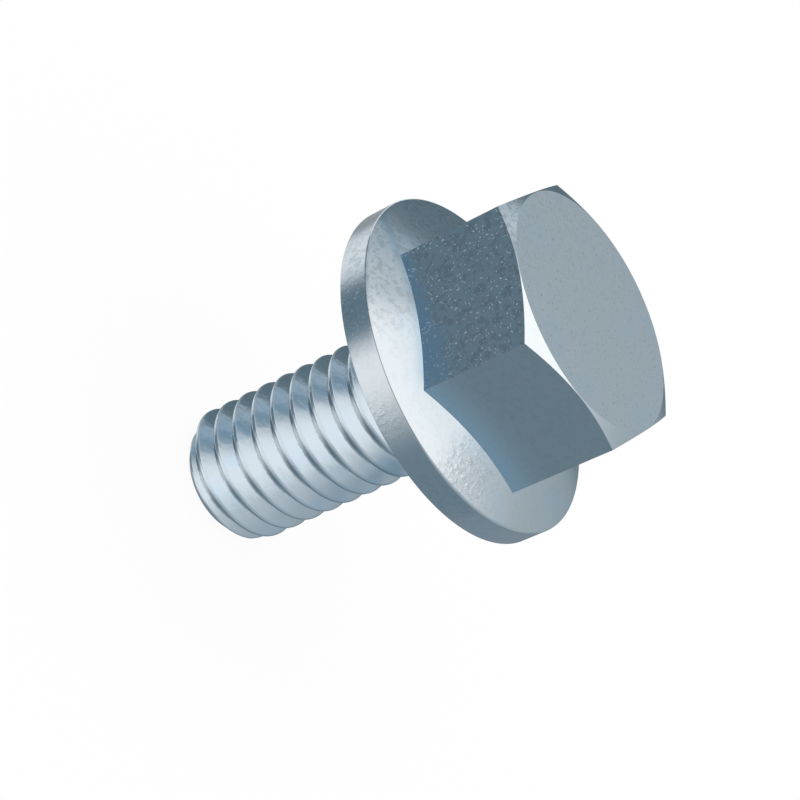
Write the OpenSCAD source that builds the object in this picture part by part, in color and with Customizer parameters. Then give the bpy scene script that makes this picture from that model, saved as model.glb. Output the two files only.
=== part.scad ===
// Hexagon bolt with a conical flange, cold forged in one piece.
// The thread's axis is Z, with the head up, and the origin is the centre of the
// bearing face under the flange. The thread is right-hand with a pitch of 1 mm; its
// helix isn't cut here, so the shank is the cylinder over the thread's crests.

/* [Head] */
// Width of the hexagon across its flats
head_flats = 10; // [8.4:0.05:12]
// Height from the bearing face to the top of the head
head_height = 6.64; // [4.6:0.01:9]
// Slope of the chamfer round the top, in degrees from the top face
crown_angle = 25; // [15:1:30]
// Distance from the flats in to the edge of the round top face
crown_inset = 0.03; // [0.01:0.01:0.3]

/* [Flange] */
// Outer diameter of the flange
flange_d = 14.15; // [13.9:0.05:20]
// Height of the upright rim round the flange
rim_height = 1.2; // [0.6:0.01:1.6]
// Slope of the cone above the rim, in degrees from the bearing face
cone_angle = 21; // [12:1:28]
// Radius on the rim's lower edge
rim_round = 0.05; // [0.02:0.01:0.4]

/* [Shank] */
// Diameter over the crests of the thread
shank_d = 5.86; // [4.8:0.02:8]
// Length from the bearing face to the flat end
shank_length = 11.9; // [6:0.1:60]
// Radius of the fillet where the shank meets the bearing face
shank_fillet = 0.25; // [0.05:0.05:0.5]
// Depth of the end's chamfer, measured in from the crests
end_depth = 0.69; // [0.2:0.01:0.9]
// Slope of the end's chamfer, in degrees from the axis
end_angle = 45; // [30:1:60]

/* [Hidden] */
$fn = 96;
shank_r = shank_d / 2;
flange_r = flange_d / 2;
corner_r = head_flats / 2 / cos(30);
crown_r = head_flats / 2 - crown_inset;
end_rise = end_depth / tan(end_angle);
cone_top_z = rim_height + (flange_r - shank_r) * tan(cone_angle);
rim_arc_r = flange_r - rim_round;

// Half section of the flange: an upright rim, rounded below, under a wide cone that
// runs in beneath the hexagon as far as the shank's radius.
module flange_section() {
    polygon([
        [0, 0],
        [rim_arc_r, 0],
        [flange_r, rim_round],
        [flange_r, rim_height],
        [shank_r, cone_top_z],
        [0, cone_top_z]
    ]);
    translate([rim_arc_r, rim_round])
        circle(r = rim_round);
}

// Half section of the shank, with its chamfered end and the fillet under the flange.
module shank_section() {
    polygon([
        [0, -shank_length],
        [shank_r - end_depth, -shank_length],
        [shank_r, end_rise - shank_length],
        [shank_r, 0],
        [0, 0]
    ]);
    difference() {
        translate([shank_r, -shank_fillet])
            square(shank_fillet);
        translate([shank_r + shank_fillet, -shank_fillet])
            circle(r = shank_fillet);
    }
}

// Half section of the round blank that trims the hexagon's corners at the top.
module crown_section() {
    polygon([
        [0, 0],
        [flange_r, 0],
        [flange_r, head_height - (flange_r - crown_r) * tan(crown_angle)],
        [crown_r, head_height],
        [0, head_height]
    ]);
}

// Hexagon with two corners on the Y axis, from inside the flange up to the crown.
module head() {
    intersection() {
        rotate([0, 0, 90])
            cylinder(h = head_height, r = corner_r, $fn = 6);
        rotate_extrude()
            crown_section();
    }
}

module flange_bolt() {
    color("lightsteelblue") {
        rotate_extrude() {
            flange_section();
            shank_section();
        }
        head();
    }
}

flange_bolt();
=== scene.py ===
import math

import bmesh
import bpy
from mathutils import Matrix, Vector


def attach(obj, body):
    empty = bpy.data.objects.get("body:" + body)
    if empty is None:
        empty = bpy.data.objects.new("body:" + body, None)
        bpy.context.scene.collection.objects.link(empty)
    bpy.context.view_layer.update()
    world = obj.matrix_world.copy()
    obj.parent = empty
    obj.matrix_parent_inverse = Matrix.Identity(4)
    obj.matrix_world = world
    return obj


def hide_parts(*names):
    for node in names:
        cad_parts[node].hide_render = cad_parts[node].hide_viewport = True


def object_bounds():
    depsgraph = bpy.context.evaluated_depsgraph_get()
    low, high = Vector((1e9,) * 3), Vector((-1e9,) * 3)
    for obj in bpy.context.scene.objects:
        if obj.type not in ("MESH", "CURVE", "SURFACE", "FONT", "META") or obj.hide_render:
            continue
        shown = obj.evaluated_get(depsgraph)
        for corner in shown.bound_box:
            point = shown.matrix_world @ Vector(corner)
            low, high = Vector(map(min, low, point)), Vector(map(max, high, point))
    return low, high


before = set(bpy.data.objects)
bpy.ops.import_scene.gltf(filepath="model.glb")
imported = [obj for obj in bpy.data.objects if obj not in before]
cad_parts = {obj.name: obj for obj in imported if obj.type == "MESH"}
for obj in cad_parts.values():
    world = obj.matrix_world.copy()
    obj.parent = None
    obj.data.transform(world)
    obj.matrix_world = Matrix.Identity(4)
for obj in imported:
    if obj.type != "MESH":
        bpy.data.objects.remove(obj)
cadLow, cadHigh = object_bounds()
mm = 0.001
spare = 1e-7  # the skin stays this far inside the CAD's box


# Node trees: one wrapper for the maths, one way to add any other node. A value's name is its
# socket's, with _ for a space, or _ and the socket's number.

class Wire:
    def __init__(self, tree, socket):
        self.tree = tree
        self.socket = socket

    def math(self, operation, *others, clamp=False):
        node = self.tree.nodes.new("ShaderNodeMath")
        node.operation = operation
        node.use_clamp = clamp
        for slot, value in zip(node.inputs, (self, *others)):
            plug(self.tree, slot, value)
        return Wire(self.tree, node.outputs[0])

    def __add__(self, other):
        return self.math("ADD", other)

    def __radd__(self, other):
        return self.math("ADD", other)

    def __sub__(self, other):
        return self.math("SUBTRACT", other)

    def __rsub__(self, other):
        return number(self.tree, other).math("SUBTRACT", self)

    def __mul__(self, other):
        return self.math("MULTIPLY", other)

    def __rmul__(self, other):
        return self.math("MULTIPLY", other)

    def __truediv__(self, other):
        return self.math("DIVIDE", other)

    def __rtruediv__(self, other):
        return number(self.tree, other).math("DIVIDE", self)

    def __abs__(self):
        return self.math("ABSOLUTE")


def number(tree, value):
    node = tree.nodes.new("ShaderNodeValue")
    node.outputs[0].default_value = value
    return Wire(tree, node.outputs[0])


def plug(tree, slot, value):
    if isinstance(value, Wire):
        tree.links.new(value.socket, slot)
    else:
        slot.default_value = value


def addNode(tree, kind, settings=None, out=0, **values):
    node = tree.nodes.new(kind)
    for name, value in (settings or {}).items():
        setattr(node, name, value)
    for name, value in values.items():
        key = int(name[1:]) if name[1:].isdigit() else name.replace("_", " ")
        plug(tree, node.inputs[key], value)
    return Wire(tree, node.outputs[out])


def softStep(tree, value, low, high):
    # 0 up to low, 1 from high on; low may be the greater of the two
    return addNode(tree, "ShaderNodeMapRange", {"interpolation_type": "SMOOTHSTEP"},
                   _0=value, _1=low, _2=high, _3=0.0, _4=1.0)


def mixColour(tree, share, first, second):
    return addNode(tree, "ShaderNodeMix", {"data_type": "RGBA"}, out=2,
                   _0=share, _6=first, _7=second)


# Head and flange, made as rings of points from the shank's joint up to the crown

headSet = {
    "flats": 10.0 * mm,  # across the hexagon
    "crownSlope": math.radians(25),
    "crownInset": 0.03 * mm,  # top circle, in from the flats
    "rimTop": 1.2 * mm,
    "coneSlope": math.radians(21),
    "rimRound": 0.05 * mm,  # lower edge of the rim
    "rimEdge": (0.035 * mm, 0.13 * mm),  # upper edge of the rim, and where it is worn rounder
    "wornSide": (-42, 8, 46),  # azimuth of that, with full and fading reach to each side in degrees
    "neckFillet": 0.25 * mm,  # under the flange
    "neckRadius": 2.93 * mm,
    "cornerColumns": (-1.6, -0.4, 0, 0.4, 1.6),  # degrees round each corner
    "flatColumns": 25,  # between one corner's columns and the next
    "neckSteps": 8,
    "arcSteps": 5,
    # rows of points over each face, as shares of the way along it
    "underRows": (0.12, 0.4, 0.7, 0.99),
    "rimRows": (0.02, 0.35, 0.65, 0.88),
    "coneRows": (0.1, 0.3, 0.55, 0.78, 1),
    "flatRows": (0.2, 0.4, 0.6, 0.8, 1),
    "crownRows": (0.25, 0.5, 0.75, 1),
    "topRows": (0.9, 0.65, 0.4, 0.15),
}


def columnAngles(s):
    # the corners stand at 30 degrees and every 60 from there
    near = s["cornerColumns"]
    gap = (60 - 2 * near[-1]) / (s["flatColumns"] + 1)
    angles = []
    for corner in range(6):
        middle = 30 + 60 * corner
        angles += [middle + a for a in near]
        angles += [middle + near[-1] + gap * (i + 1) for i in range(s["flatColumns"])]
    corners = [c * len(angles) // 6 + len(near) // 2 for c in range(6)]
    return [math.radians(a) for a in angles], corners


def hexRadius(s, angle):
    # distance from the axis to the side of the hexagon
    fromCorner = math.radians(abs(math.degrees(angle) % 60 - 30))
    return s["flats"] / 2 / math.cos(math.radians(30) - fromCorner)


def wornShare(s, angle):
    middle, full, reach = s["wornSide"]
    away = abs((math.degrees(angle) - middle + 180) % 360 - 180)
    share = min(max((full + reach - away) / reach, 0), 1)
    return share * share * (3 - 2 * share)


def arcBetween(corner, fromWay, toWay, radius, steps):
    # points of a round that replaces a corner, in the plane of the section
    a, b = Vector(fromWay).normalized(), Vector(toWay).normalized()
    turn = a.angle(b)
    start = Vector(corner) - a * (radius * math.tan(turn / 2))
    side = (b - a * a.dot(b)).normalized()
    middle = start + side * radius
    turns = [turn * i / steps for i in range(steps + 1)]
    return [tuple(middle - side * radius * math.cos(t) + a * radius * math.sin(t)) for t in turns]


def headSection(s, angle, flangeR, topZ):
    # points from the joint up to the crown, and which of them lie on the head's sharp edges
    side = hexRadius(s, angle)
    crownR = s["flats"] / 2 - s["crownInset"]
    slope = math.tan(s["coneSlope"])
    coneWay = (-math.cos(s["coneSlope"]), math.sin(s["coneSlope"]))
    rootZ = s["rimTop"] + (flangeR - side) * slope
    shoulderZ = topZ - (side - crownR) * math.tan(s["crownSlope"])
    neck, rimStart = s["neckRadius"], flangeR - s["rimRound"]
    sharpEdge, softEdge = s["rimEdge"]
    edgeRound = sharpEdge + (softEdge - sharpEdge) * wornShare(s, angle)
    points = arcBetween((neck, 0), (0, 1), (1, 0), s["neckFillet"], s["neckSteps"])
    points += [(neck + (rimStart - neck) * t, 0) for t in s["underRows"]]
    points += arcBetween((flangeR, 0), (1, 0), (0, 1), s["rimRound"], s["arcSteps"] + 1)
    points += [(flangeR, s["rimRound"] + (s["rimTop"] - s["rimRound"]) * t) for t in s["rimRows"]]
    points += arcBetween((flangeR, s["rimTop"]), (0, 1), coneWay, edgeRound, s["arcSteps"])
    for t in s["coneRows"]:
        r = flangeR + (side - flangeR) * t
        points.append((r, s["rimTop"] + (flangeR - r) * slope))
    root = len(points) - 1
    points += [(side, rootZ + (shoulderZ - rootZ) * t) for t in s["flatRows"]]
    shoulder = len(points) - 1
    for t in s["crownRows"]:
        points.append((side + (crownR - side) * t, shoulderZ + (topZ - shoulderZ) * t))
    crown = len(points) - 1
    points += [(crownR * t, topZ) for t in s["topRows"]]
    return points, (root, shoulder, crown)


def makeHead(s):
    angles, corners = columnAngles(s)
    flangeR, topZ = cadHigh[0] - spare, cadHigh[2] - spare
    sections, edgeRows = zip(*(headSection(s, a, flangeR, topZ) for a in angles))
    root, shoulder, crown = edgeRows[0]
    columns, rows = len(angles), len(sections[0])
    verts = []
    for row in range(rows):
        for a, section in zip(angles, sections):
            r, z = section[row]
            verts.append((r * math.cos(a), r * math.sin(a), z))
    faces = []
    for low in range(0, (rows - 1) * columns, columns):
        high = low + columns
        for here in range(columns):
            beside = (here + 1) % columns
            faces.append((low + here, low + beside, high + beside, high + here))
    last = (rows - 1) * columns
    faces += [(last + c, last + (c + 1) % columns, len(verts)) for c in range(columns)]
    verts.append((0, 0, topZ))
    mesh = bpy.data.meshes.new("flangeBolt")
    mesh.from_pydata(verts, [], faces)

    # each column's share of a turn, for the thread, and the edges that stay sharp
    turn = mesh.attributes.new("turn", "FLOAT", "POINT")
    for i in range(len(verts)):
        turn.data[i].value = (angles[i % columns] - angles[0]) / math.tau
    sharp = mesh.attributes.new("sharp_edge", "BOOLEAN", "EDGE")
    for edge in mesh.edges:
        (low, lowColumn), (high, highColumn) = sorted(divmod(v, columns) for v in edge.vertices)
        along = low == high and low in (root, shoulder, crown)
        atCorner = lowColumn == highColumn and lowColumn in corners
        upright = atCorner and root <= low and high <= shoulder
        sharp.data[edge.index].value = along or upright
    mesh.update()
    bolt = bpy.data.objects.new("boltBody", mesh)
    bpy.context.scene.collection.objects.link(bolt)
    return bolt, columns


# Thread: a grid of points wound along the helix, grown down from the head's open ring

threadSet = {
    "pitch": 1.0 * mm,
    "crestFlat": 0.06,  # half the crest's width, as a share of the pitch
    "depth": 0.64 * mm,
    "crestSoft": 0.09 * mm,
    "rootSoft": 0.03 * mm,
    "flankSlope": math.radians(60),  # against the axis
    "rowsPerTurn": 32,
    "capRows": 4,
    "endRadius": 2.24 * mm,
    "endSlope": math.radians(45),
    "fade": 0.5 * mm,  # the thread runs out under the flange
    "startTurn": -0.05,
    "turnsAhead": 100,  # whole turns added, so that no share is counted from below zero
    "rounding": 0.0001,  # share of a turn that keeps a full turn from counting as the one before
    "mergeWithin": 1e-7,  # points closer than this become one
}


def threadTree(s):
    tree = bpy.data.node_groups.new("rolledThread", "GeometryNodeTree")
    face = tree.interface
    face.new_socket("Geometry", in_out="INPUT", socket_type="NodeSocketGeometry")
    sizes = {
        "Pitch": "Float", "Crest Radius": "Float", "Crest Flat": "Float", "Depth": "Float",
        "Crest Soft": "Float", "Root Soft": "Float", "Joint Height": "Float", "End Height": "Float",
        "End Radius": "Float", "End Slope": "Float", "Fade": "Float", "Start Turn": "Float",
        "Columns": "Int", "Rows": "Int", "Cap Rows": "Int", "Rows Per Turn": "Int",
        "Finish": "Material",
    }
    for name, kind in sizes.items():
        face.new_socket(name, in_out="INPUT", socket_type="NodeSocket" + kind)
    face.new_socket("Geometry", in_out="OUTPUT", socket_type="NodeSocketGeometry")
    entry = tree.nodes.new("NodeGroupInput")
    leave = tree.nodes.new("NodeGroupOutput")

    def given(name):
        return Wire(tree, entry.outputs[name])

    # column and row of each point of the grid, which is 1 by 1 about its middle
    columns, rows, capRows = given("Columns"), given("Rows"), given("Cap Rows")
    grid = addNode(tree, "GeometryNodeMeshGrid",
                   _0=1.0, _1=1.0, _2=columns + 1, _3=rows + capRows + 1)
    place = addNode(tree, "ShaderNodeSeparateXYZ", _0=addNode(tree, "GeometryNodeInputPosition"))
    column = ((place + 0.5) * columns).math("ROUND")
    row = (Wire(tree, place.socket.node.outputs[1]) + 0.5) * (rows + capRows)

    # the point of the head's ring that each column hangs from
    turnHere = addNode(tree, "GeometryNodeInputNamedAttribute", {"data_type": "FLOAT"}, _0="turn")
    whole = (column / columns + s["rounding"]).math("FLOOR")
    ringIndex = column - whole * columns
    ringTurn = addNode(tree, "GeometryNodeSampleIndex", {"data_type": "FLOAT", "domain": "POINT"},
                       Geometry=given("Geometry"), Value=turnHere, Index=ringIndex)
    pointHere = addNode(tree, "GeometryNodeInputPosition")
    ringPoint = addNode(tree, "GeometryNodeSampleIndex",
                        {"data_type": "FLOAT_VECTOR", "domain": "POINT"},
                        Geometry=given("Geometry"), Value=pointHere, Index=ringIndex)
    turn = ringTurn + whole

    # height along the axis, held between the flat end and the head's ring
    pitch, endZ, jointZ = given("Pitch"), given("End Height"), given("Joint Height")
    wound = endZ - pitch + (row - capRows) * pitch / given("Rows Per Turn") + turn * pitch
    height = wound.math("MAXIMUM", endZ).math("MINIMUM", jointZ)

    # radius across one pitch: a crest, a straight flank and a rounded root
    crest = given("Crest Radius")
    share = (height / pitch - turn + given("Start Turn") + s["turnsAhead"]).math("FRACT")
    away = abs(share - 0.5)
    flank = crest + (given("Crest Flat") - away) * pitch * math.tan(s["flankSlope"])
    shaped = flank.math("SMOOTH_MIN", crest, given("Crest Soft"))
    shaped = shaped.math("SMOOTH_MAX", crest - given("Depth"), given("Root Soft"))
    fade = softStep(tree, height, jointZ - given("Fade"), jointZ)
    shaped = shaped + (crest - shaped) * fade
    chamfer = given("End Radius") + (height - endZ) * given("End Slope")
    shaped = shaped.math("MINIMUM", chamfer)

    # the first rows close the flat end; then every point goes to its radius and height
    inCap = row.math("LESS_THAN", capRows - 0.5)
    capRadius = given("End Radius") * row / capRows
    radius = shaped + (capRadius - shaped) * inCap
    outward = addNode(tree, "ShaderNodeVectorMath", {"operation": "MULTIPLY"},
                      _0=ringPoint, _1=(1, 1, 0))
    outward = addNode(tree, "ShaderNodeVectorMath", {"operation": "NORMALIZE"}, _0=outward)
    spread = addNode(tree, "ShaderNodeVectorMath", {"operation": "SCALE"}, _0=outward, _3=radius)
    lift = addNode(tree, "ShaderNodeCombineXYZ", _2=height)
    target = addNode(tree, "ShaderNodeVectorMath", {"operation": "ADD"}, _0=spread, _1=lift)
    shank = addNode(tree, "GeometryNodeSetPosition", Geometry=grid, Position=target)

    # one closed skin with the head
    join = tree.nodes.new("GeometryNodeJoinGeometry")
    tree.links.new(shank.socket, join.inputs[0])
    tree.links.new(entry.outputs["Geometry"], join.inputs[0])
    merged = addNode(tree, "GeometryNodeMergeByDistance", Geometry=Wire(tree, join.outputs[0]),
                     Distance=s["mergeWithin"])
    smooth = addNode(tree, "GeometryNodeSetShadeSmooth", Geometry=merged)
    solid = addNode(tree, "GeometryNodeRealizeInstances", Geometry=smooth)
    coated = addNode(tree, "GeometryNodeSetMaterial", Geometry=solid, Material=given("Finish"))
    tree.links.new(coated.socket, leave.inputs[0])
    return tree


def windThread(bolt, columns, finish, s, neckRadius, jointZ, endZ):
    tree = threadTree(s)
    modifier = bolt.modifiers.new("rolledThread", "NODES")
    modifier.node_group = tree
    rows = math.ceil((jointZ - endZ + s["pitch"]) / s["pitch"] * s["rowsPerTurn"])
    values = {
        "Pitch": s["pitch"], "Crest Radius": neckRadius, "Crest Flat": s["crestFlat"],
        "Depth": s["depth"], "Crest Soft": s["crestSoft"], "Root Soft": s["rootSoft"],
        "Joint Height": jointZ, "End Height": endZ, "End Radius": s["endRadius"],
        "End Slope": math.tan(s["endSlope"]), "Fade": s["fade"], "Start Turn": s["startTurn"],
        "Columns": columns, "Rows": rows, "Cap Rows": s["capRows"],
        "Rows Per Turn": s["rowsPerTurn"], "Finish": finish,
    }
    for item in tree.interface.items_tree:
        if item.in_out == "INPUT" and item.name in values:
            modifier[item.identifier] = values[item.name]
    depsgraph = bpy.context.evaluated_depsgraph_get()
    mesh = bpy.data.meshes.new_from_object(bolt.evaluated_get(depsgraph))
    mesh.name = "flangeBolt"
    bolt.modifiers.clear()
    bolt.data = mesh


def checkSkin(mesh):
    bm = bmesh.new()
    bm.from_mesh(mesh)
    loose = sum(1 for e in bm.edges if len(e.link_faces) != 2)
    triangles = sum(len(f.verts) - 2 for f in bm.faces)
    volume = bm.calc_volume(signed=True)
    bm.free()
    print("bolt skin:", triangles, "triangles,", loose, "open edges,",
          round(volume / mm ** 3, 1), "mm3")


# Zinc plate

zincSet = {
    "plain": (0.68, 0.745, 0.79, 1),
    "dull": (0.46, 0.535, 0.58, 1),  # blotches
    "dark": (0.50, 0.56, 0.60, 1),  # fine pits of the top
    "blue": (0.47, 0.68, 0.89, 1),  # painted reflection of the flange along the foot of the mottled flats, and the blue tint of the thread
    "paleBlue": (0.56, 0.77, 0.94, 1),  # the painted reflection on the calm flats, paler; off the flats, the blue of the tint in clouds and of the painted shade beside the mottled flat
    "slateTone": (0.30, 0.45, 0.57, 1),  # slate blue: darker patches in cloudy shapes on the thread, and the painted shade on the cone beside the mottled flat
    "bright": (0.86, 0.90, 0.915, 1),  # painted highlights, on the cone towards the rim and on the crown
    "paintedGlint": (0.78, 0.83, 0.86, 1),  # painted glint: a pale line along the rim's upper edge
    "shade": (0.01, 0.02, 0.03, 1),
    "roughness": 0.17,
    "blotchRoughness": 0.24,
    "reflectionMetalLoss": 0.13,  # metal taken from the painted reflection on the calm flats, which makes it paler
    "glintMetal": 0.8,  # metal taken from the painted glint, which makes it pale

    # noise: scale per millimetre, and the values between which a pattern rises
    "grit": 0.55,  # roughness of every noise
    "blotch": {"scale": 3.8, "detail": 4, "twist": 0.5, "shift": (0, 0, 0), "rise": (0.47, 0.62)},
    "speck": {"scale": 11, "detail": 1, "twist": 0, "shift": (7, 3, 1), "rise": (0.68, 0.76)},
    "pit": {"scale": 7.5, "detail": 2, "twist": 0.3, "shift": (3, 8, 2), "rise": (0.60, 0.70)},
    "blister": {"scale": 4.5, "detail": 2, "twist": 0.2, "shift": (1, 5, 7), "rise": (0.42, 0.80)},
    "cloud": {"scale": 0.45, "detail": 2, "twist": 0.6, "shift": (5, 5, 5), "rise": (0.5, 0.72)},
    "wave": {"scale": 2, "detail": 1, "twist": 0.4, "shift": (6, 1, 8)},
    "nick": {"scale": 7, "detail": 2, "twist": 0, "shift": (4, 4, 9)},
    "grain": {"scale": 30, "detail": 2, "twist": 0, "shift": (2, 9, 4)},

    # relief in millimetres
    "blotchDepth": 0.0012,
    "speckHeight": 0.007,
    "blisterHeight": 0.009,
    "grainHeight": 0.0003,
    "nickDepth": 0.15,  # unevenness of the roots' dark edges, which is only a tone
    "waveHeight": (0.006, 0.018),  # the rolled thread, on its front and on its left

    # share of the mottling that each part keeps
    "calm": 0.16,  # the side towards +X
    "offFlat": 0.6,  # flange, against the flats
    "topCalm": 0.7,  # this much less on top
    "onThread": (0.1, 0.5),  # the thread's front and its left
    "inBlisters": 0.3,  # added where blisters rise

    # round places in millimetres: centre, where they start and are full, and how strong
    "blisters": (
        ((0.2, -7.8, 0.0), 1.8, 0.54, 1.0), ((3.7, -5.2, 1.6), 2.2, 0.66, 1.0),
        ((-4.6, -2.7, 6.2), 1.6, 0.48, 0.35), ((-6.2, 2.4, 1.5), 3.2, 0.96, 0.5)),
    "slatePatches": (((2.35, -1.5, -3.7), 1.5, 0.3, 0.9), ((2.3, -1.6, -6.0), 1.8, 0.36, 0.4)),
    "crownHighlightCorner": (((-5.0, -2.9, 6.2), 2.2, 1.0, 0.9),),

    # where along x, y, z, the radius or the distance from a face a mask starts and is full
    "flatSide": (0.02, -0.02),  # x, from the calm flats to the mottled ones
    "coneSlant": 0.4,  # share of y in the slanted line that does the same on the flange
    "coneSide": (-1.5, 3.0),  # along that line
    "threadLeft": (-0.7, -2.0),  # x
    "blueCorner": (-3.4, -5.7),  # y
    "blueFoot": -0.1,  # above the cone
    "mottledFlat": (-0.5, -math.sqrt(0.75), 0),  # direction out of the mottled flat in front
    "besideOut": (0.5, 0.0),  # out from the plane of the mottled flat, and in from it
    "besideIn": (-0.3, -0.02),
    "besideLeft": (0.0, -0.6),  # x
    "besideLow": (4.5, 4.0),  # z
    "nearRim": (5.4, 6.9),  # radius
    "nearFront": (-3.5, -6.0),  # y
    "crownLow": (5.0, 5.2),  # z
    "crownFront": (-4.2, -4.6),  # y
    "lineFront": (-3.2, -4.0),  # y and x of the fine dark line along the rim
    "lineLeft": (2.6, 1.2),
    "glintBack": (-3.8, -3.0),  # y and x of the painted glint along the rim
    "glintLeft": (1.0, -1.0),
    "endLeft": (0.6, -0.4),  # x

    # blue: painted reflection along the foot of the flats, painted shade beside the mottled flat,
    # and a blue tint in clouds and on the thread; slate patches
    "blueReach": (2.3, 1.1),  # mm up the flats from the cone, on the calm side and the mottled one
    "blueMore": 1.6,  # added to that near the corner between the two
    "blueOver": 0.7,  # share of a blotch that the painted reflection hides
    "blueCloud": 0.25,  # share of the blue tint in clouds, off the flats
    "blueCone": 0.25,  # share of the blue in the painted shade beside the mottled flat
    "threadFilm": (0.14, 0.12),  # everywhere, and more in clouds
    "slateRise": (0.2, 0.5),  # values of the clouds between which the slate patches rise
    "slateShadeBesideFlat": 0.4,  # share of the slate tone in the painted shade beside the mottled flat
    "coneHighlight": 0.5,  # share of the painted highlight on the cone towards the rim, in front
    "pitShare": 0.9,

    # light that is left
    "flatShade": (0.97, 0.93),  # on the flats of the calm side and of the mottled one
    "rimLine": 0.5,  # in the fine dark line along the rim's upper edge
    "rootShade": 0.7,  # in the roots of the thread
    "endLine": 0.25,  # along the edge of the thread's end
}


def zincPlate(s):
    material = bpy.data.materials.new("zincPlate")
    material.use_nodes = True
    tree = material.node_tree
    shader = tree.nodes["Principled BSDF"]

    def ramp(value, low, high):
        return softStep(tree, value, low, high)

    def blend(share, first, second):
        return mixColour(tree, share, first, second)

    def noise(kind):
        moved = addNode(tree, "ShaderNodeVectorMath", {"operation": "ADD"},
                        _0=place, _1=kind["shift"])
        return addNode(tree, "ShaderNodeTexNoise", {"noise_dimensions": "3D"}, Vector=moved,
                       Scale=kind["scale"], Detail=kind["detail"], Roughness=s["grit"],
                       Distortion=kind["twist"])

    def pattern(name):
        return ramp(noise(s[name]), *s[name]["rise"])

    def spots(places):
        total = 0
        for centre, start, full, share in places:
            away = addNode(tree, "ShaderNodeVectorMath", {"operation": "DISTANCE"}, out=1,
                           _0=place, _1=centre)
            total = total + ramp(away, start, full) * share
        return total

    # place on the bolt in millimetres, and the parts of its surface; beside an edge the two
    # limits say how far past it, in millimetres, a mask starts and is full
    spot = addNode(tree, "ShaderNodeTexCoord", out=3)
    place = addNode(tree, "ShaderNodeVectorMath", {"operation": "SCALE"}, _0=spot, _3=1 / mm)
    x = addNode(tree, "ShaderNodeSeparateXYZ", _0=place)
    y, z = Wire(tree, x.socket.node.outputs[1]), Wire(tree, x.socket.node.outputs[2])
    radius = (x * x + y * y).math("SQRT")
    headR, topZ, endZ = cadHigh[0] / mm, cadHigh[2] / mm, cadLow[2] / mm
    rimZ, threadR = headSet["rimTop"] / mm, headSet["neckRadius"] / mm
    crownR = (headSet["flats"] / 2 - headSet["crownInset"]) / mm
    aboveCone = z - rimZ - (headR - radius) * math.tan(headSet["coneSlope"])
    belowCrown = topZ - z - (radius - crownR) * math.tan(headSet["crownSlope"])
    onFlat = ramp(aboveCone, 0.005, 0.02) * ramp(radius, crownR + 0.005, crownR + 0.02)
    onFlat = onFlat * ramp(belowCrown, 0.0, 0.015)
    onCone = ramp(z, rimZ - 0.01, rimZ + 0.01) * (1 - onFlat)
    onTop = ramp(z, topZ - 0.02, topZ - 0.005)
    onThread = ramp(z, -0.05, -0.3)

    # the half towards -X is mottled, the other half and the top are calm
    sideOfFlat = ramp(x, *s["flatSide"])
    sideOfCone = ramp(x * -1 + y * s["coneSlant"], *s["coneSide"])
    side = sideOfCone + (sideOfFlat - sideOfCone) * onFlat
    left = ramp(x, *s["threadLeft"])

    def between(pair, share):
        return share * (pair[1] - pair[0]) + pair[0]

    zone = spots(s["blisters"]) * (1 - onFlat) * (1 - onThread)
    rough = between((s["calm"], 1), side) * between((s["offFlat"], 1), onFlat)
    rough = rough + zone * s["inBlisters"]
    rough = rough * (1 - onTop * s["topCalm"]) * (1 - onThread * (1 - between(s["onThread"], left)))
    blotch, speck = pattern("blotch") * rough, pattern("speck") * rough
    pit, blister = pattern("pit") * onTop, pattern("blister") * zone
    cloud = noise(s["cloud"])
    wave = noise(s["wave"]) * onThread * between(s["waveHeight"], left)

    height = speck * s["speckHeight"] - blotch * s["blotchDepth"]
    height = height + (noise(s["grain"]) - 0.5) * s["grainHeight"]
    height = height + blister * s["blisterHeight"] + wave
    bump = addNode(tree, "ShaderNodeBump", Strength=1.0, Distance=mm, Height=height)

    # blue: painted reflection of the flange along the foot of the flats, painted shade on the cone
    # beside the mottled flat, and a blue tint in faint clouds
    reach = between(s["blueReach"], side) + side * ramp(y, *s["blueCorner"]) * s["blueMore"]
    foot = (1 - ramp(aboveCone, s["blueFoot"], reach)).math("POWER", 2.0) * onFlat
    # painted shade on the cone, in the corner beside the mottled flat
    fromFlat = addNode(tree, "ShaderNodeVectorMath", {"operation": "DOT_PRODUCT"}, out=1,
                       _0=place, _1=s["mottledFlat"]) - headSet["flats"] / 2 / mm
    beside = ramp(fromFlat, *s["besideOut"]) * ramp(fromFlat, *s["besideIn"])
    beside = beside * ramp(x, *s["besideLeft"]) * ramp(z, *s["besideLow"]) * onCone
    clouds = ramp(cloud, *s["cloud"]["rise"])
    # the painted reflection, the blue tint in clouds and the painted shade beside the mottled flat
    tintReflectionAndShade = foot.math("MAXIMUM", clouds * s["blueCloud"] * (1 - onFlat))
    tintReflectionAndShade = tintReflectionAndShade.math("MAXIMUM", beside * s["blueCone"])
    colour = blend(tintReflectionAndShade, s["plain"], blend(side * onFlat, s["paleBlue"], s["blue"]))
    everywhere, inClouds = s["threadFilm"]
    colour = blend(onThread * (clouds * inClouds + everywhere), colour, s["blue"])

    # slate patches, painted shade beside the mottled flat, painted highlights, blotches and pits
    # darker slate blue patches in cloudy shapes on the thread
    slateTone = onThread * spots(s["slatePatches"]) * ramp(cloud, *s["slateRise"])
    colour = blend(slateTone, colour, s["slateTone"])
    # painted shade in slate blue on the cone beside the mottled flat
    colour = blend(beside * s["slateShadeBesideFlat"], colour, s["slateTone"])
    # painted highlight on the cone towards the rim, in front
    nearRim = ramp(radius, *s["nearRim"]) * ramp(y, *s["nearFront"]) * onCone
    colour = blend(nearRim * s["coneHighlight"], colour, s["bright"])
    colour = blend(blotch * (1 - foot * s["blueOver"]), colour, s["dull"])
    colour = blend(pit * s["pitShare"], colour, s["dark"])
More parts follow.
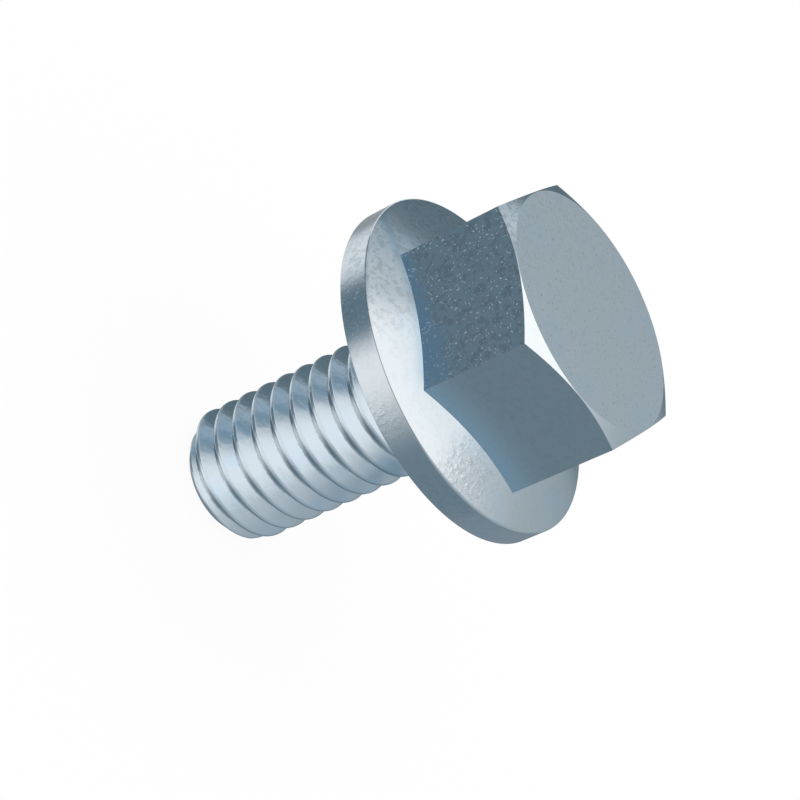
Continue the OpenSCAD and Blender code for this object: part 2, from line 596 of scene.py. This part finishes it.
    # painted highlight on the front of the crown and near one corner
    onCrown = ramp(radius, crownR - 0.01, crownR + 0.01) * ramp(belowCrown, 0.02, 0.0)
    onCrown = onCrown * ramp(z, *s["crownLow"])
    crownHighlight = ramp(y, *s["crownFront"]) + spots(s["crownHighlightCorner"])
    colour = blend(onCrown * crownHighlight * (1 - blotch), colour, s["bright"])

    # shade on the flats, in the thread's roots, along the edge of the rim and at the thread's end
    flatShade = onFlat * (1 - between(s["flatShade"], side)) * (1 - foot)
    ragged = radius + (noise(s["nick"]) - 0.5) * s["nickDepth"]
    rootShade = ramp(ragged, threadR - 0.56, threadR - 0.62) * onThread * (1 - s["rootShade"])
    rimEdge = ramp(radius, headR - 0.05, headR - 0.025) * ramp(z, rimZ - 0.025, rimZ - 0.005)
    rimShade = rimEdge * ramp(y, *s["lineFront"]) * ramp(x, *s["lineLeft"]) * (1 - s["rimLine"])
    endShade = ramp(z, endZ + 0.13, endZ + 0.03) * ramp(x, *s["endLeft"])
    endShade = endShade * ramp(radius, threadR - 0.75, threadR - 0.70) * (1 - s["endLine"])
    colour = blend(flatShade + rootShade + rimShade + endShade, colour, s["shade"])
    # painted glint: a pale, less metallic line along the rim's upper edge
    paintedGlint = rimEdge * ramp(y, *s["glintBack"]) * ramp(x, *s["glintLeft"])
    colour = blend(paintedGlint, colour, s["paintedGlint"])

    # less metal, for a paler look, in the painted glint and in the painted reflection on the calm
    # flats
    metal = 1 - paintedGlint * s["glintMetal"] - foot * (1 - side) * s["reflectionMetalLoss"]
    plug(tree, shader.inputs["Base Color"], colour)
    plug(tree, shader.inputs["Metallic"], metal)
    plug(tree, shader.inputs["Roughness"], between((s["roughness"], s["blotchRoughness"]), blotch))
    plug(tree, shader.inputs["Normal"], bump)
    return material


finish = zincPlate(zincSet)
print("zinc plate ready")
bolt, columns = makeHead(headSet)
windThread(bolt, columns, finish, threadSet,
           headSet["neckRadius"], -headSet["neckFillet"], cadLow[2] + spare)
checkSkin(bolt.data)

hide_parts("flange_bolt")
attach(bolt, "root")
bolt.visible_glossy = False  # as in the photograph, the metal mirrors the studio and not itself
print("bolt body in place")


# Floor, light and camera

stageSet = {
    "floorHalf": 1.0,
    "paper": (0.96, 0.96, 0.96, 1),
    "ownWhite": 0.93,  # share of the floor that is plain white whatever falls on it
}


def shownWhite(tree):
    # 1 where a ray comes from the camera, or from metal or glass
    path = tree.nodes.new("ShaderNodeLightPath")
    seen = Wire(tree, path.outputs["Is Camera Ray"]) + Wire(tree, path.outputs["Is Glossy Ray"])
    return seen.math("ADD", Wire(tree, path.outputs["Is Transmission Ray"]), clamp=True)


def makeFloor(s):
    half = s["floorHalf"]
    mesh = bpy.data.meshes.new("floor")
    corners = [(-half, -half), (half, -half), (half, half), (-half, half)]
    mesh.from_pydata([(x, y, cadLow[2]) for x, y in corners], [], [(0, 1, 2, 3)])
    floor = bpy.data.objects.new("floor", mesh)
    bpy.context.scene.collection.objects.link(floor)
    material = bpy.data.materials.new("floorPaper")
    material.use_nodes = True
    tree = material.node_tree
    tree.nodes.clear()
    lit = addNode(tree, "ShaderNodeBsdfDiffuse", Color=s["paper"])
    white = addNode(tree, "ShaderNodeEmission", Color=(1, 1, 1, 1), Strength=1.0)
    both = addNode(tree, "ShaderNodeMixShader",
                   _0=shownWhite(tree) * s["ownWhite"], _1=lit, _2=white)
    out = tree.nodes.new("ShaderNodeOutputMaterial")
    tree.links.new(both.socket, out.inputs["Surface"])
    mesh.materials.append(material)
    floor.visible_glossy = False


def makeWorld():
    world = bpy.data.worlds.new("studio")
    bpy.context.scene.world = world
    world.use_nodes = True
    tree = world.node_tree
    plug(tree, tree.nodes["Background"].inputs["Color"], (1, 1, 1, 1))
    plug(tree, tree.nodes["Background"].inputs["Strength"], 1.0)


# Light tent: cloth panels round the bolt, lit from behind and seen only in the metal.
# Azimuths run from +X towards +Y and elevations from the floor's plane, all in degrees.

tentSet = {
    "radius": 0.6,
    "subdivisions": 4,
    "low": (0.19, 0.256, 0.298, 1),
    "high": (0.445, 0.495, 0.525, 1),
    "horizon": (-25, 33),  # elevations between which the low tone turns into the high one
    # each panel covers those above it; one with an elevation is round, any other an upright strip
    # "full" and "fade" are reaches to each side, "under" the elevations over which a strip ends
    "panels": {
        "rightFill": {"azimuth": 32, "full": 18, "fade": 24, "under": (-24, -10),
                      "tone": (0.25, 0.30, 0.34, 1)},
        "backFill": {"azimuth": 109, "full": 6, "fade": 22, "under": (-24, -14),
                     "tone": (0.335, 0.36, 0.37, 1)},
        "leftSlate": {"azimuth": -160, "full": 14, "fade": 12, "under": (40, 57),
                      "tone": (0.156, 0.226, 0.273, 1)},
        "topHaze": {"azimuth": 100, "elevation": 70, "full": 24, "fade": 22,
                    "tone": (0.66, 0.69, 0.71, 1)},
        "frontLight": {"azimuth": -60, "full": 60, "fade": 24, "tone": (1.04, 1.03, 1.02, 1),
                       "within": {"azimuth": 180, "full": 68, "fade": 58}},
        "backLight": {"azimuth": 157, "full": 4, "fade": 27, "under": (-27, -8),
                      "tone": (0.89, 0.90, 0.91, 1)},
        "crestLight": {"azimuth": 176, "elevation": -8, "full": 9, "fade": 14,
                       "tone": (0.86, 0.90, 0.93, 1)},
        "frontTop": {"azimuth": -140, "elevation": 66, "full": 12, "fade": 14,
                     "tone": (0.97, 0.97, 0.97, 1)},
        "backSlate": {"azimuth": 98, "elevation": -4, "full": 12, "fade": 14,
                      "tone": (0.13, 0.18, 0.21, 1)},
        "backSlateHigh": {"azimuth": 116, "elevation": 10, "full": 4, "fade": 22,
                          "tone": (0.14, 0.195, 0.23, 1)},
        "topLight": {"azimuth": 96, "elevation": 76, "full": 15, "fade": 11.5,
                     "tone": (1.08, 1.09, 1.09, 1)},
        "highBlue": {"azimuth": 146, "elevation": 50, "full": 1, "fade": 13,
                     "tone": (0.22, 0.325, 0.415, 1)},
        "highMist": {"azimuth": 138, "elevation": 38, "full": 1, "fade": 9,
                     "tone": (0.38, 0.48, 0.565, 1)},
        "highPale": {"azimuth": 128, "elevation": 34, "full": 3, "fade": 8,
                     "tone": (0.46, 0.54, 0.60, 1)},
        "highSlate": {"azimuth": 127, "elevation": 21, "full": 3, "fade": 11,
                      "tone": (0.145, 0.20, 0.225, 1)},
    },
}


def cosine(degrees):
    return math.cos(math.radians(degrees))


def sine(degrees):
    return math.sin(math.radians(degrees))


def makeTent(s):
    bm = bmesh.new()
    bmesh.ops.create_icosphere(bm, subdivisions=s["subdivisions"], radius=s["radius"])
    bmesh.ops.reverse_faces(bm, faces=bm.faces)
    mesh = bpy.data.meshes.new("lightTent")
    bm.to_mesh(mesh)
    bm.free()
    tent = bpy.data.objects.new("lightTent", mesh)
    bpy.context.scene.collection.objects.link(tent)
    material = bpy.data.materials.new("tentCloth")
    material.use_nodes = True
    tree = material.node_tree
    tree.nodes.clear()
    spot = addNode(tree, "ShaderNodeTexCoord", out=3)
    way = addNode(tree, "ShaderNodeVectorMath", {"operation": "NORMALIZE"}, _0=spot)
    level = addNode(tree, "ShaderNodeVectorMath", {"operation": "MULTIPLY"}, _0=way, _1=(1, 1, 0))
    level = addNode(tree, "ShaderNodeVectorMath", {"operation": "NORMALIZE"}, _0=level)
    rise = addNode(tree, "ShaderNodeSeparateXYZ", out=2, _0=way)

    def cover(panel):
        # share of the cloth that a panel covers in each direction
        out, up = cosine(panel.get("elevation", 0)), sine(panel.get("elevation", 0))
        middle = (cosine(panel["azimuth"]) * out, sine(panel["azimuth"]) * out, up)
        away = addNode(tree, "ShaderNodeVectorMath", {"operation": "DOT_PRODUCT"}, out=1,
                       _0=way if "elevation" in panel else level, _1=middle)
        share = softStep(tree, away, cosine(panel["full"] + panel["fade"]), cosine(panel["full"]))
        if "under" in panel:
            share = share * (1 - softStep(tree, rise, *(sine(e) for e in panel["under"])))
        if "within" in panel:
            share = share * cover(panel["within"])
        return share

    aboveHorizon = softStep(tree, rise, *(sine(e) for e in s["horizon"]))
    cloth = mixColour(tree, aboveHorizon, s["low"], s["high"])
    for panel in s["panels"].values():
        cloth = mixColour(tree, cover(panel), cloth, panel["tone"])
    glow = addNode(tree, "ShaderNodeEmission", Color=cloth, Strength=1.0)
    out = tree.nodes.new("ShaderNodeOutputMaterial")
    tree.links.new(glow.socket, out.inputs["Surface"])
    material.cycles.emission_sampling = "NONE"
    mesh.materials.append(material)
    tent.visible_camera = tent.visible_diffuse = tent.visible_shadow = False
    tent.visible_transmission = tent.visible_volume_scatter = False


cameraSet = {
    "aim": (0.01 * mm, 0.01 * mm, -2.635 * mm),
    "distance": 93.09 * mm,
    "azimuth": -0.62,  # degrees, 0 looks along +Y
    "elevation": 29.36,
    "roll": 65.02,  # the bolt's axis leans over to the right
    "lens": 104.7,
    "sensor": 36.0,
    "clip": (0.001, 10.0),
}


def makeCamera(s):
    data = bpy.data.cameras.new("camera")
    data.lens = s["lens"]
    data.sensor_width = s["sensor"]
    data.clip_start, data.clip_end = s["clip"]
    camera = bpy.data.objects.new("camera", data)
    bpy.context.scene.collection.objects.link(camera)
    turn = Matrix.Rotation(math.radians(s["azimuth"]), 4, "Z")
    tip = Matrix.Rotation(math.radians(90 - s["elevation"]), 4, "X")
    roll = Matrix.Rotation(math.radians(s["roll"]), 4, "Z")
    back = Matrix.Translation((0, 0, s["distance"]))
    camera.matrix_world = Matrix.Translation(s["aim"]) @ turn @ tip @ back @ roll
    bpy.context.scene.camera = camera


makeFloor(stageSet)
makeWorld()
makeTent(tentSet)
makeCamera(cameraSet)
bpy.context.scene.view_settings.view_transform = "Standard"
print("stage, light and camera set")
